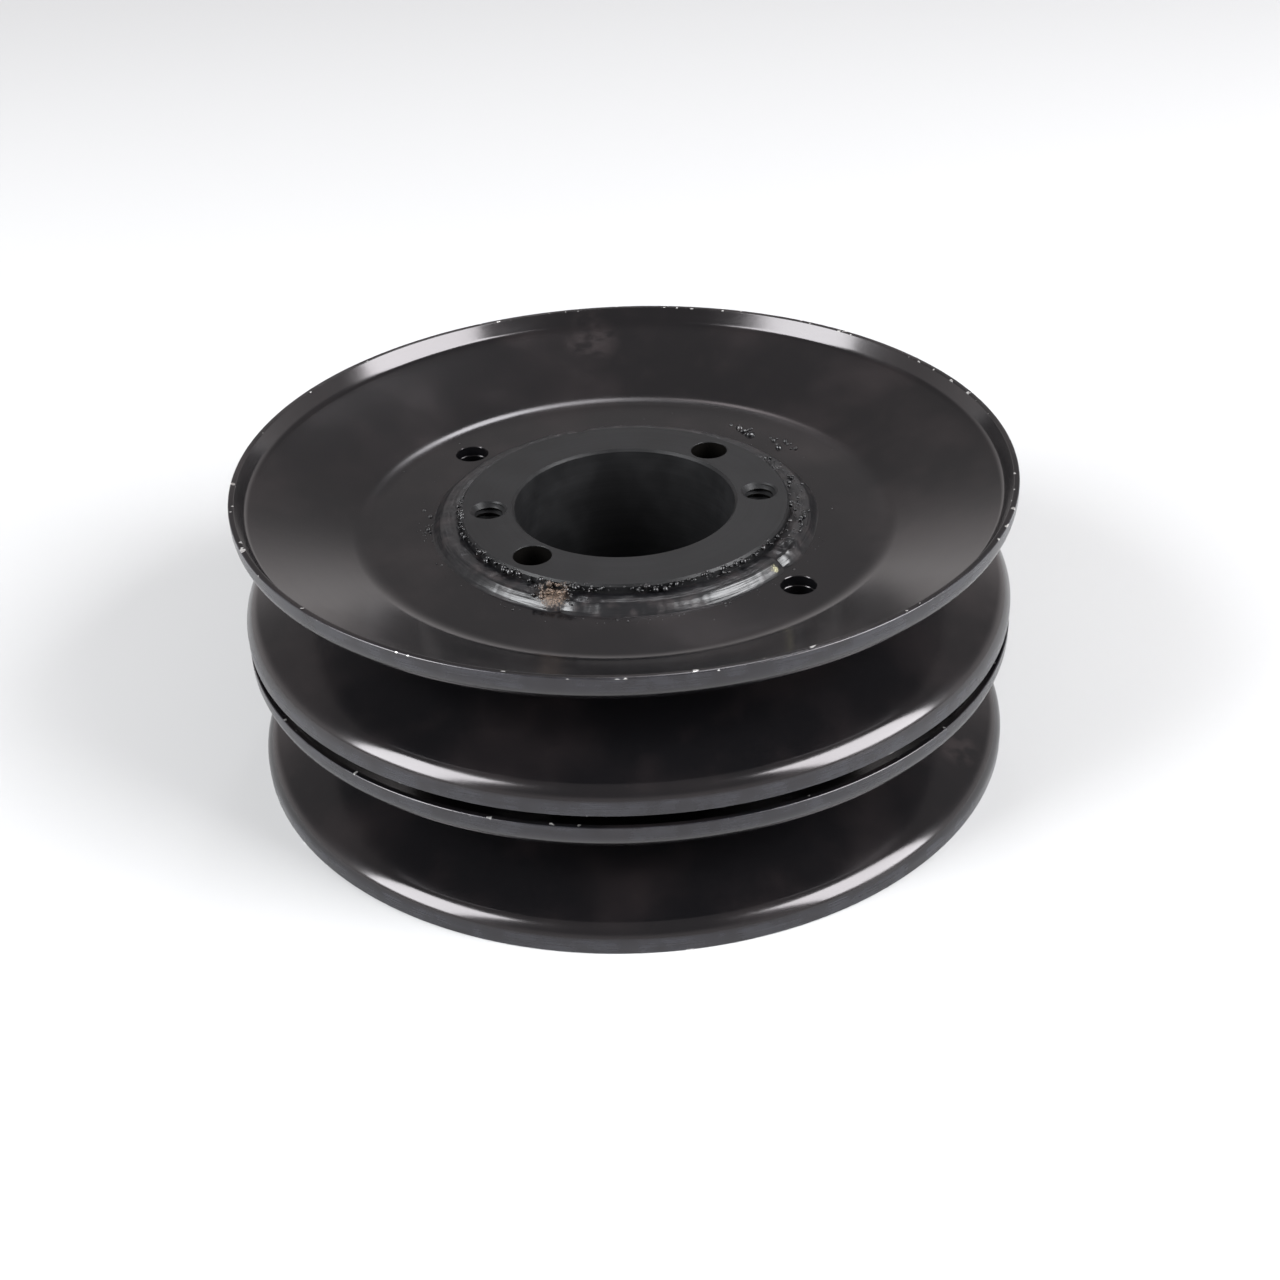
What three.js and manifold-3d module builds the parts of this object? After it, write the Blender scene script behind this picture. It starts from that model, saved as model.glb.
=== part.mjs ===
// Double-groove V-belt pulley: four pressed steel discs and a spacer on a taper-bored hub,
// held by a fillet weld round each end of the hub.
// Millimetres, +Z up along the shaft axis. The origin is on that axis, halfway between the grooves.
import * as THREE from "three";
import { mergeVertices } from "three/addons/utils/BufferGeometryUtils.js";
import Module from "manifold-3d";

const wasm = await Module();
wasm.setup();

// ---- Driving dimensions -----------------------------------------------------------------------
const inch = 25.4;

// Pressed discs. Two of them, back to back, make one grooved sheave.
const outerDiameter = 144.5;
const sheet = 2; // thickness of the steel they are pressed from
const grooveAngle = 44; // included angle of each V, in degrees
const grooveMouth = 23.76; // between the straight lips of one groove
const lipHeight = 1.6; // straight part of the lip round each rim
const lipEdge = 1.1; // thickness at the free edge of the lip, whose inner face leans outwards
const lipBend = 4; // bend from wall to lip, on the groove side
const webBend = 10; // bend from web to wall, on the dished side
const sheaveGap = 2.25; // between the facing lips of the two sheaves
const webHoleDiameter = 6.35;
const webHoleAngle = 133.7; // from the tapped holes of the hub, in degrees
const webHoleToWeld = 1.1; // land between the weld's toe and the edge of a web hole

// Hub, bored and drilled for a size H split taper bushing.
const hubDiameter = 61.5;
const hubProud = 3.2; // how far the hub stands out of each outer web
const hubEdge = 0.4; // chamfer round the outside of each end
const boreDiameter = 1.625 * inch; // at the large end, which is the top
const boreTaper = 0.75 / 12; // on the diameter
const boreEdge = 0.45; // chamfer at each mouth of the bore
const screwCircle = 2 * inch;
const tapDrill = 5.1; // for a 1/4-20 thread
const tapMouth = 6.5; // the tapped holes' countersink
const screwClearance = 7;
const clearanceHoleAngle = 45; // from the tapped holes, in degrees

const hubFit = 0.15; // radial clearance of the discs and the spacer on the hub
const spacerWall = 5.6;

// Weld beads. Each ring is laid in several runs, which stop at these angles.
const weldLeg = 5.6; // along the web
const weldBulge = 0.9; // how far the face stands above a straight fillet
const weldGap = 0.3; // left between a bead and the steel it is laid on
const upperWeldStops = [-110, -38, 104];
const lowerWeldStops = [-72, 38, 166];

const facets = 64; // round the pulley
const holeFacets = 24;
const bendSteps = 3; // chords in each bend of the sheet
const weldStep = 8; // degrees of arc to a chord of weld
const overcut = 1; // how far a cutter passes the faces it cuts through

// ---- Sizes worked out from them ---------------------------------------------------------------
const radians = THREE.MathUtils.degToRad;
const outerRadius = outerDiameter / 2;
const hubRadius = hubDiameter / 2;
const seatRadius = hubRadius + hubFit; // bore of the discs and of the spacer
const wallAngle = radians(grooveAngle / 2); // of one wall, from the web's plane
const grooveCentre = sheaveGap / 2 + lipHeight + grooveMouth / 2; // height of each groove
const hubHalf = grooveCentre + sheet + hubProud;
const spacerHalf = grooveCentre - sheet;

// The knee is where the groove side of the web would meet the groove side of the wall.
const lipBase = grooveMouth / 2;
const wallEndRadius = outerRadius - lipBend + lipBend * Math.sin(wallAngle);
const wallEndHeight = lipBase - lipBend * Math.cos(wallAngle);
const kneeRadius = wallEndRadius - wallEndHeight / Math.tan(wallAngle);
const webEndRadius = kneeRadius - (webBend + sheet) * Math.tan(wallAngle / 2);
// Where the leaning inner face of the lip leaves the bend, as an angle round the bend's centre.
const lipTangent =
  Math.atan2(lipHeight, lipBend - lipEdge) -
  Math.acos((lipBend - sheet) / Math.hypot(lipBend - lipEdge, lipHeight));

// The bead stays on the flat of the web.
const weldLand = Math.min(weldLeg, webEndRadius - seatRadius - weldGap);
const weldToe = hubRadius + weldGap + weldLand;
const webHoleRadius = weldToe + webHoleToWeld + webHoleDiameter / 2;

// ---- Finishes ---------------------------------------------------------------------------------
const blackEnamel = new THREE.MeshStandardMaterial({ color: 0x17171a, roughness: 0.32, metalness: 0 });
const hubEnamel = new THREE.MeshStandardMaterial({ color: 0x1c1c1f, roughness: 0.55, metalness: 0 });
const weldMetal = new THREE.MeshStandardMaterial({ color: 0x232326, roughness: 0.38, metalness: 0 });

// ---- Tools ------------------------------------------------------------------------------------
function solidOf(geometry) {
  const bare = geometry.clone();
  bare.deleteAttribute("normal");
  bare.deleteAttribute("uv");
  const merged = mergeVertices(bare, 1e-4);
  return new wasm.Manifold(
    new wasm.Mesh({
      numProp: 3,
      vertProperties: merged.attributes.position.array,
      triVerts: new Uint32Array(merged.index.array),
    }),
  );
}

function geometryOf(solid) {
  const { vertProperties, triVerts } = solid.getMesh();
  return new THREE.BufferGeometry()
    .setAttribute("position", new THREE.BufferAttribute(vertProperties, 3))
    .setIndex(new THREE.BufferAttribute(triVerts, 1));
}

// Revolves a closed outline of [radius, height] points about the Z axis.
function turned(outline) {
  const points = [...outline, outline[0]].map(([r, z]) => new THREE.Vector2(r, z));
  return new THREE.LatheGeometry(points, facets).rotateX(Math.PI / 2);
}

// A cutter along Z, with its own radius at each end.
function cutter(x, y, low, high, lowRadius, highRadius = lowRadius) {
  return new THREE.CylinderGeometry(highRadius, lowRadius, high - low, holeFacets)
    .rotateX(Math.PI / 2)
    .translate(x, y, (low + high) / 2);
}

function drilled(geometry, cutters) {
  return geometryOf(cutters.reduce((body, tool) => body.subtract(solidOf(tool)), solidOf(geometry)));
}

// Points along an arc in an outline, ends included; angles are in radians.
function arc(centreRadius, centreHeight, radius, from, to) {
  return Array.from({ length: bendSteps + 1 }, (_, i) => {
    const angle = from + ((to - from) * i) / bendSteps;
    return [centreRadius + radius * Math.cos(angle), centreHeight + radius * Math.sin(angle)];
  });
}

function named(name, geometry, material) {
  const mesh = new THREE.Mesh(geometry, material);
  mesh.name = name;
  return mesh;
}

// ---- Discs ------------------------------------------------------------------------------------
// A disc stands on the face of its web that meets the other disc of its sheave, and its dish opens up.
function disc(name) {
  const down = -Math.PI / 2;
  const grooveSide = [
    [seatRadius, 0],
    ...arc(webEndRadius, webBend + sheet, webBend + sheet, down, down + wallAngle),
    ...arc(outerRadius - lipBend, lipBase, lipBend, down + wallAngle, 0),
    [outerRadius, lipBase + lipHeight],
  ];
  const dishedSide = [
    [seatRadius, sheet],
    ...arc(webEndRadius, webBend + sheet, webBend, down, down + wallAngle),
    ...arc(outerRadius - lipBend, lipBase, lipBend - sheet, down + wallAngle, lipTangent),
    [outerRadius - lipEdge, lipBase + lipHeight],
  ];
  const holes = [1, -1].map((side) =>
    cutter(side * webHoleRadius, 0, -overcut, lipBase, webHoleDiameter / 2),
  );
  return named(name, drilled(turned([...grooveSide, ...dishedSide.reverse()]), holes), blackEnamel);
}

// Two discs back to back, with their webs meeting at the group's own origin.
function sheave(name) {
  const group = new THREE.Group();
  const outer = disc(`${name}_sheave_outer_disc`);
  const inner = disc(`${name}_sheave_inner_disc`);
  inner.rotation.x = Math.PI;
  group.add(outer, inner);
  return group;
}

// The web holes lie on the stack's own X axis, so they line up through all four discs.
function discStack() {
  const stack = new THREE.Group();
  const upper = sheave("upper");
  const lower = sheave("lower");
  upper.position.z = grooveCentre;
  lower.position.z = -grooveCentre;
  lower.rotation.x = Math.PI;
  stack.add(upper, lower);
  stack.rotation.z = radians(webHoleAngle);
  return stack;
}

// ---- Spacer between the two sheaves -----------------------------------------------------------
function spacer() {
  const outline = [
    [seatRadius, -spacerHalf],
    [seatRadius + spacerWall, -spacerHalf],
    [seatRadius + spacerWall, spacerHalf],
    [seatRadius, spacerHalf],
  ];
  return named("spacer_ring", turned(outline), blackEnamel);
}

// ---- Hub --------------------------------------------------------------------------------------
function boreRadiusAt(height) {
  return (boreDiameter - boreTaper * (hubHalf - height)) / 2;
}

function hub() {
  const outline = [
    [boreRadiusAt(-hubHalf) + boreEdge, -hubHalf],
    [hubRadius - hubEdge, -hubHalf],
    [hubRadius, -hubHalf + hubEdge],
    [hubRadius, hubHalf - hubEdge],
    [hubRadius - hubEdge, hubHalf],
    [boreRadiusAt(hubHalf) + boreEdge, hubHalf],
    [boreRadiusAt(hubHalf - boreEdge), hubHalf - boreEdge],
    [boreRadiusAt(-hubHalf + boreEdge), -hubHalf + boreEdge],
  ];
  const end = hubHalf + overcut;
  const sink = (tapMouth - tapDrill) / 2; // depth of a 90 degree countersink
  const cutters = [0, 180].flatMap((turn) => {
    const place = (angle) => [
      (screwCircle / 2) * Math.cos(radians(angle + turn)),
      (screwCircle / 2) * Math.sin(radians(angle + turn)),
    ];
    const tapped = place(0);
    return [
      cutter(...tapped, -end, end, tapDrill / 2),
      cutter(...tapped, hubHalf - sink, end, tapDrill / 2, tapMouth / 2 + overcut),
      cutter(...tapped, -end, -hubHalf + sink, tapMouth / 2 + overcut, tapDrill / 2),
      cutter(...place(clearanceHoleAngle), -end, end, screwClearance / 2),
    ];
  });
  return named("hub", drilled(turned(outline), cutters), hubEnamel);
}

// ---- Welds ------------------------------------------------------------------------------------
// The root line of one run of weld, an arc round the hub.
class WeldRoot extends THREE.Curve {
  constructor(radius, from, to) {
    super();
    Object.assign(this, { radius, from, to });
  }
  getPoint(t, target = new THREE.Vector3()) {
    const angle = this.from + (this.to - this.from) * t;
    return target.set(this.radius * Math.cos(angle), this.radius * Math.sin(angle), 0);
  }
}

// One fillet bead standing on the web, with its height along +Z.
function weldRun(name, from, to) {
  const rootRadius = hubRadius + weldGap;
  const rise = hubProud - weldGap - hubEdge;
  const halfGap = weldGap / 2 / rootRadius; // as an angle, at each end of the run
  const root = new WeldRoot(rootRadius, radians(from) + halfGap, radians(to) - halfGap);
  // An extrusion along a level arc turns the section's x to -Z and its y towards the axis.
  const section = new THREE.Shape();
  section.moveTo(0, 0);
  section.lineTo(0, -weldLand);
  section.quadraticCurveTo(-rise / 2 - weldBulge, -weldLand / 2 - weldBulge, -rise, 0);
  section.closePath();
  const bead = new THREE.ExtrudeGeometry(section, {
    steps: Math.ceil((to - from) / weldStep),
    curveSegments: bendSteps,
    extrudePath: root,
  });
  return named(name, geometryOf(solidOf(bead)), weldMetal);
}

function weldRing(name, stops) {
  const ring = new THREE.Group();
  stops.forEach((from, i) => {
    const to = i + 1 < stops.length ? stops[i + 1] : stops[0] + 360;
    ring.add(weldRun(`${name}_weld_run_${i + 1}`, from, to));
  });
  ring.position.z = grooveCentre + sheet + weldGap;
  return ring;
}

function welds() {
  const both = new THREE.Group();
  const lower = new THREE.Group();
  lower.rotation.x = Math.PI;
  lower.add(weldRing("lower", lowerWeldStops));
  both.add(weldRing("upper", upperWeldStops), lower);
  return both;
}

// ---- Assembly ---------------------------------------------------------------------------------
const pulley = new THREE.Group();
pulley.add(hub(), discStack(), spacer(), welds());

export default pulley;
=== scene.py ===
import math

import bpy
import numpy as np
from mathutils import Matrix, Vector


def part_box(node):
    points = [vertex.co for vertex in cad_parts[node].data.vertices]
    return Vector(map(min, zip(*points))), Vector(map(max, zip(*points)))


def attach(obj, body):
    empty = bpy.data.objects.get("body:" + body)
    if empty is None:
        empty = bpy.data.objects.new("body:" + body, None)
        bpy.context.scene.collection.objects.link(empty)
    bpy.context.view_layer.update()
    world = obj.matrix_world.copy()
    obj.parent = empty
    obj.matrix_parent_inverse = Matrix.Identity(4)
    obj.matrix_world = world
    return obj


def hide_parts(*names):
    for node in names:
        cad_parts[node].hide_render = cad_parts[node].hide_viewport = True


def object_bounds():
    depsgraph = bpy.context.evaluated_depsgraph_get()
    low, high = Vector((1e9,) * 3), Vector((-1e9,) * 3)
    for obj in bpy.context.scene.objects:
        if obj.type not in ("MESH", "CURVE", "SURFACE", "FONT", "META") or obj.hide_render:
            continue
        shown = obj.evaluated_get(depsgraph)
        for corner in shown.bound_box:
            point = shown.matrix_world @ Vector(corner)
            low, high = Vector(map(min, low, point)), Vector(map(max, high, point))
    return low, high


bl_info = {
    "name": "Double-groove V-belt pulley",
    "version": (1, 0, 0),
    "blender": (4, 5, 0),
    "location": "3D View > Sidebar > Pulley",
    "description": "Pressed steel discs on a welded, taper-bored hub",
    "category": "Add Mesh",
}

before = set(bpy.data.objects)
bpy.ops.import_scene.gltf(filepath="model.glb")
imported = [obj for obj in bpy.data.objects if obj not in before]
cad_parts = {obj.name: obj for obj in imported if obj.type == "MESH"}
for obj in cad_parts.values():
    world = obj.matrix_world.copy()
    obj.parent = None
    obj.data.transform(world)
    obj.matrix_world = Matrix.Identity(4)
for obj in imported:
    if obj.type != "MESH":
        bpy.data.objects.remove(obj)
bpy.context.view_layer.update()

MM = 0.001
INCH = 25.4  # in millimetres
DOWN = -math.pi / 2  # as an angle in an outline

whole_low, whole_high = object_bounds()
hub_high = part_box("hub")[1]
spacer_low, spacer_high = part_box("spacer_ring")
disc_low, disc_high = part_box("upper_sheave_outer_disc")
rim_radius = min(whole_high.x, whole_high.y)
hub_radius = hub_high.x
hub_half = hub_high.z
web_top = disc_low.z  # the outer disc's web stands on this height

# Each disc, and whether its dish opens downwards.
DISCS = {
    "upper_sheave_outer_disc": False,
    "upper_sheave_inner_disc": True,
    "lower_sheave_inner_disc": False,
    "lower_sheave_outer_disc": True,
}

# Dull smears on the discs: angle in degrees, reach and height in millimetres.
SMEARS = ((92, 9.0, 27.0), (318, 8.0, 4.0), (333, 7.0, -22.0))
SMEAR_RADIUS = 64.0 * MM

# The crater near the start of a run of weld: a pit with a raised rim.
CRATER_ALONG = 1.15  # from the start of the run, in widths of the bead
CRATER_ACROSS = 0.42  # across the bead from the hub, as a share of its width
CRATER_PIT = 1.2 * MM
CRATER_RIM = 1.85 * MM
CRATER_RIM_WIDTH = 0.45 * MM
CRATER_RIM_SHARE = 0.4  # of the depth of the pit

BEAD_STEP = 0.28 * MM  # between the rows of a bead's mesh
SEAM = 0.001 * MM  # points nearer than this are one
PAST_BORE = (21.3 * MM, 21.6 * MM)
INSIDE_HUB = (29.9 * MM, 29.5 * MM)
LAP_BEFORE = 0.9  # share of the overlap of two runs that lies before their stop


# ---- Settings ----
def length(name, description, millimetres):
    """A size that a user may change."""
    return bpy.props.FloatProperty(
        name=name, description=description, default=millimetres * MM, unit="LENGTH", precision=5
    )


def turn(name, description, degrees):
    """An angle that a user may change."""
    return bpy.props.FloatProperty(
        name=name, description=description, default=math.radians(degrees), subtype="ANGLE"
    )


def share(name, description, default):
    """A plain number that a user may change."""
    return bpy.props.FloatProperty(name=name, description=description, default=default, precision=3)


def colour(name, description, default):
    """A colour that a user may change."""
    return bpy.props.FloatVectorProperty(
        name=name, description=description, default=default, size=3, subtype="COLOR", min=0, max=1
    )


class PulleyDiscs(bpy.types.PropertyGroup):
    sheet: length("Sheet", "Thickness of the pressed steel", 2.0)
    groove: turn("Groove angle", "Included angle of each V", 44.0)
    lip_height: length("Lip height", "Straight part of the lip round each rim", 1.6)
    lip_edge: length("Lip edge", "Thickness at the free edge of the lip", 1.1)
    lip_bend: length("Lip bend", "Bend from wall to lip, on the groove side", 4.0)
    web_bend: length("Web bend", "Bend from web to wall, on the dished side", 10.0)
    fit: length("Fit", "Radial clearance on the hub", 0.15)
    break_edge: length("Broken edge", "Rounding of the lip's free edge", 0.22)
    hole: length("Web hole", "Diameter of the two holes in each web", 6.35)
    hole_radius: length("Web hole radius", "From the axis to the middle of a web hole", 40.925)
    hole_turn: turn("Web hole angle", "From the tapped holes of the hub", 133.7)
    hole_edge: length("Web hole edge", "Chamfer of the web holes", 0.10)
    waviness: length("Waviness", "How far the pressed wall strays from a true cone", 0.10)
    wave: length("Wave length", "Distance between the waves of the wall", 38.0)


class PulleyHub(bpy.types.PropertyGroup):
    bore: length("Bore", "Bore diameter at the large end", 1.625 * INCH)
    taper: share("Taper", "Taper of the bore on its diameter", 0.75 / 12)
    bore_edge: length("Bore edge", "Chamfer at each mouth of the bore", 0.45)
    edge: length("Hub edge", "Chamfer round each end", 0.4)
    screw_circle: length("Screw circle", "Diameter of the circle of screw holes", 2 * INCH)
    clearance: length("Clearance hole", "Diameter of the plain holes", 7.0)
    clearance_turn: turn("Clearance hole angle", "From the tapped holes", 45.0)
    hole_edge: length("Hole edge", "Chamfer of the plain holes", 0.12)
    tap_drill: length("Tap drill", "Inside diameter of the thread", 5.1)
    thread: length("Thread", "Outside diameter of the thread", 0.25 * INCH)
    pitch: length("Pitch", "Pitch of the thread", INCH / 20)
    tap_mouth: length("Thread mouth", "Diameter of the thread's countersink", 6.9)


class PulleyWelds(bpy.types.PropertyGroup):
    leg: length("Leg", "Width of the bead on the web", 5.75)
    rise: length("Rise", "Height of the bead on the hub", 1.5)
    bulge: length("Bulge", "How far the middle of the bead stands above its edge", 0.32)
    shoulder: share("Shoulder", "Where the bead starts to fall to its toe, across its width", 0.56)
    sink: length("Sink", "How deep the bead's edges go into the steel", 0.08)
    overlap: length("Overlap", "How far each run laps over the next", 4.5)
    ripple: length("Ripple", "Distance between ripples", 1.25)
    ripple_height: length("Ripple height", "Height of a ripple", 0.018)
    lump: length("Lump height", "Height of the slow swells along the bead", 0.50)
    streak: length("Streak height", "Height of the lengthwise lines on the bead", 0.07)
    crater: length("Crater depth", "Depth of the pit where a run starts", 1.0)


class PulleyPaint(bpy.types.PropertyGroup):
    enamel: colour("Enamel", "Colour of the black enamel", (0.0026, 0.0025, 0.0029))
    worn: colour("Worn enamel", "Colour of scuffed enamel on the rims", (0.016, 0.017, 0.021))
    sheen: colour("Sheen", "Tint of what the gloss enamel mirrors", (1.0, 0.95, 0.965))
    dust: colour("Dust", "Colour of dust and smudges", (0.024, 0.018, 0.018))
    hub: colour("Hub paint", "Colour of the thin paint on the hub", (0.0055, 0.0055, 0.0058))
    weld: colour("Weld paint", "Colour of the paint on the beads", (0.0035, 0.0035, 0.0042))
    slag: colour("Slag", "Colour of the rough brown spots", (0.17, 0.115, 0.08))
    speck: colour("Pale speck", "Colour of the pale speck of slag", (0.55, 0.52, 0.30))
    # Bare steel in the screw holes, painted near black as the shade inside them.
    hole_shade: colour("Hole shade", "Near-black colour painted on the screw holes' bare steel as their shade", (0.006, 0.0055, 0.005))
    steel: colour("Bare steel", "Colour of chipped metal", (0.78, 0.77, 0.75))


class PulleyStage(bpy.types.PropertyGroup):
    azimuth: turn("Camera azimuth", "Direction of the camera round the pulley", -93.7146)
    elevation: turn("Camera elevation", "Height of the camera as an angle", 32.622)
    distance: length("Camera distance", "From the camera to what it looks at", 385.62)
    roll: turn("Camera roll", "Tilt of the camera to the side", -2.274)
    lens: share("Lens", "Focal length in millimetres on a 36 mm sensor", 55.52)
    floor: colour("Floor", "Colour of the floor", (0.44, 0.44, 0.44))
    far_floor: colour("Far floor", "Colour of the floor away from the pulley", (0.7, 0.7, 0.7))
    far_glow: colour("Far glow", "Light that the floor gives off far away", (0.66, 0.62, 0.62))
    room: colour("Room", "Colour of the room's light", (1.0, 0.955, 0.955))
    high_room: share("Room above", "Strength of the room's light from above", 0.36)
    low_room: share("Room around", "Strength of the room's light from its walls", 1.0)


# ---- Node expressions ----
class Wire:
    """An output in a node tree that stands in Python expressions, each of which adds its nodes."""

    def __init__(self, tree, socket=None):
        self.tree = tree
        self.socket = socket

    def node(self, kind, settings=None, sockets=None, result=0):
        """Adds a node: first its settings, then the values or links of its sockets."""
        made = self.tree.nodes.new(kind)
        for name, value in (settings or {}).items():
            setattr(made, name, value)
        for key, value in (sockets or {}).items():
            if isinstance(value, Wire):
                self.tree.links.new(value.socket, made.inputs[key])
            else:
                made.inputs[key].default_value = value
        return Wire(self.tree, made.outputs[result])

    def other(self, result):
        """Another output of the same node."""
        return Wire(self.tree, self.socket.node.outputs[result])

    def maths(self, operation, *values):
        return self.node("ShaderNodeMath", {"operation": operation}, dict(enumerate(values)))

    def __add__(self, other):
        return self.maths("ADD", self, other)

    def __radd__(self, other):
        return self.maths("ADD", other, self)

    def __sub__(self, other):
        return self.maths("SUBTRACT", self, other)

    def __rsub__(self, other):
        return self.maths("SUBTRACT", other, self)

    def __mul__(self, other):
        return self.maths("MULTIPLY", self, other)

    def __rmul__(self, other):
        return self.maths("MULTIPLY", other, self)

    def __truediv__(self, other):
        return self.maths("DIVIDE", self, other)

    def __rtruediv__(self, other):
        return self.maths("DIVIDE", other, self)

    def __pow__(self, other):
        return self.maths("POWER", self, other)

    def __neg__(self):
        return self.maths("MULTIPLY", self, -1.0)

    def __abs__(self):
        return self.maths("ABSOLUTE", self)

    def sin(self):
        return self.maths("SINE", self)

    def cos(self):
        return self.maths("COSINE", self)

    def root(self):
        return self.maths("SQRT", self)

    def least(self, other):
        return self.maths("MINIMUM", self, other)

    def most(self, other):
        return self.maths("MAXIMUM", self, other)

    def bell(self, width):
        """1 where this is 0, falling to nothing over the width."""
        return self.maths("EXPONENT", -((self / width) ** 2.0))

    def ease(self, low, high):
        """0 below low and 1 above high, smoothly; low may be the larger."""
        return self.node(
            "ShaderNodeMapRange",
            {"interpolation_type": "SMOOTHSTEP"},
            {"Value": self, "From Min": low, "From Max": high},
        )

    def mix(self, first, second):
        """A colour from first to second as this goes from 0 to 1."""
        ends = {
            key: value if isinstance(value, Wire) else (*value, 1.0)
            for key, value in ((6, first), (7, second))
        }
        return self.node("ShaderNodeMix", {"data_type": "RGBA"}, {0: self, **ends}, result=2)

    def vector(self, x, y, z):
        return self.node("ShaderNodeCombineXYZ", sockets={0: x, 1: y, 2: z})

    def parts(self):
        """The x, y and z of this vector."""
        x = self.node("ShaderNodeSeparateXYZ", sockets={0: self})
        return x, x.other(1), x.other(2)

    def around(self, radius, height):
        """The point at this angle about the axis, by its radius and height."""
        return self.vector(radius * self.cos(), radius * self.sin(), height)

    def facing_up(self):
        """How far the surface faces up, from -1 to 1."""
        return self.node("ShaderNodeNewGeometry", result="Normal").parts()[2]

    def distance(self, point):
        """How far this place is from a point."""
        return self.node(
            "ShaderNodeVectorMath", {"operation": "DISTANCE"}, {0: self, 1: point}, result="Value"
        )

    def noise(self, scale, detail=2.0, seed=0.0, roughness=0.5):
        """Noise from 0 to 1 at this place; the scale is in waves to the metre."""
        return self.node(
            "ShaderNodeTexNoise",
            {"noise_dimensions": "4D"},
            {"Vector": self, "Scale": scale, "Detail": detail, "W": seed, "Roughness": roughness},
        )


def geometry_tree(name, inputs):
    """A geometry tree with named inputs, given as {name: whole or real default}."""
    tree = bpy.data.node_groups.new(name, "GeometryNodeTree")
    tree.interface.new_socket("Geometry", in_out="INPUT", socket_type="NodeSocketGeometry")
    for label, default in inputs.items():
        kind = "NodeSocketInt" if isinstance(default, int) else "NodeSocketFloat"
        tree.interface.new_socket(label, in_out="INPUT", socket_type=kind).default_value = default
    tree.interface.new_socket("Material", in_out="INPUT", socket_type="NodeSocketMaterial")
    tree.interface.new_socket("Geometry", in_out="OUTPUT", socket_type="NodeSocketGeometry")
    entry = tree.nodes.new("NodeGroupInput")
    return Wire(tree), {s.name: Wire(tree, s) for s in entry.outputs if s.name}


def end_tree(start, geometry, material):
    """Ends a geometry tree with real, painted geometry."""
    real = start.node("GeometryNodeRealizeInstances", sockets={"Geometry": geometry})
    painted = start.node(
        "GeometryNodeSetMaterial", sockets={"Geometry": real, "Material": material}
    )
    leaving = start.tree.nodes.new("NodeGroupOutput")
    start.tree.links.new(painted.socket, leaving.inputs[0])
    return start.tree


def add_object(name, data):
    """A new object in the scene."""
    made = bpy.data.objects.new(name, data)
    bpy.context.scene.collection.objects.link(made)
    return made


def applied(carrier):
    """The mesh that an object's modifiers leave; the object itself goes."""
    result = bpy.data.meshes.new_from_object(
        carrier.evaluated_get(bpy.context.evaluated_depsgraph_get())
    )
    carrier.modifiers.clear()
    bpy.data.objects.remove(carrier)
    return result


def made_by(tree, mesh, inputs):
    """The plain mesh that a geometry tree makes from a starting mesh."""
    carrier = add_object(tree.name, mesh)
    modifier = carrier.modifiers.new(tree.name, "NODES")
    modifier.node_group = tree
    for item in tree.interface.items_tree:
        if item.in_out == "INPUT" and item.name in inputs:
            modifier[item.identifier] = inputs[item.name]
    result = applied(carrier)
    # A primitive brings an empty slot of its own, which cut faces would fall into.
    result.materials.clear()
    result.materials.append(inputs["Material"])
    return result


def turning_tree():
    """Turns the points of a closed outline, held as x and z, about the upright axis."""
    start, given = geometry_tree(
        "Turned piece",
        {
            "Segments": 384,
            "Waviness": 0.0,
            "Wave scale": 30.0,
            "Still radius": 0.0,
            "Moving radius": 1.0,
            "Seed": 0.0,
        },
    )
    count = start.node(
        "GeometryNodeAttributeDomainSize", sockets={"Geometry": given["Geometry"]}
    )
    grid = start.node(
        "GeometryNodeMeshGrid",
        sockets={
            "Size X": 1.0,
            "Size Y": 1.0,
            "Vertices X": count + 1,
            "Vertices Y": given["Segments"] + 1,
        },
    )
    place = start.node("GeometryNodeInputPosition")
    across, along, _ = place.parts()
    step = start.maths("ROUND", (across + 0.5) * count)
    point = start.node(
        "GeometryNodeSampleIndex",
        {"data_type": "FLOAT_VECTOR", "domain": "POINT"},
        {
            "Geometry": given["Geometry"],
            "Value": place,
            "Index": start.maths("MODULO", step, count),
        },
    )
    radius, _, height = point.parts()
    angle = (along + 0.5) * math.tau
    flat = angle.around(radius, 0.0)
    sway = flat.noise(given["Wave scale"], 1.0, given["Seed"])
    drift = flat.noise(given["Wave scale"] * 0.7, 0.0, given["Seed"] + 40.0)
    loose = radius.ease(given["Still radius"], given["Moving radius"]) * given["Waviness"]
    run_out = radius - loose * drift
    lowered = height - loose * sway
    turned = start.node(
        "GeometryNodeSetPosition",
        sockets={"Geometry": grid, "Position": angle.around(run_out, lowered)},
    )
    merged = start.node(
        "GeometryNodeMergeByDistance", sockets={"Geometry": turned, "Distance": SEAM}
    )
    return end_tree(start, merged, given["Material"])


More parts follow.
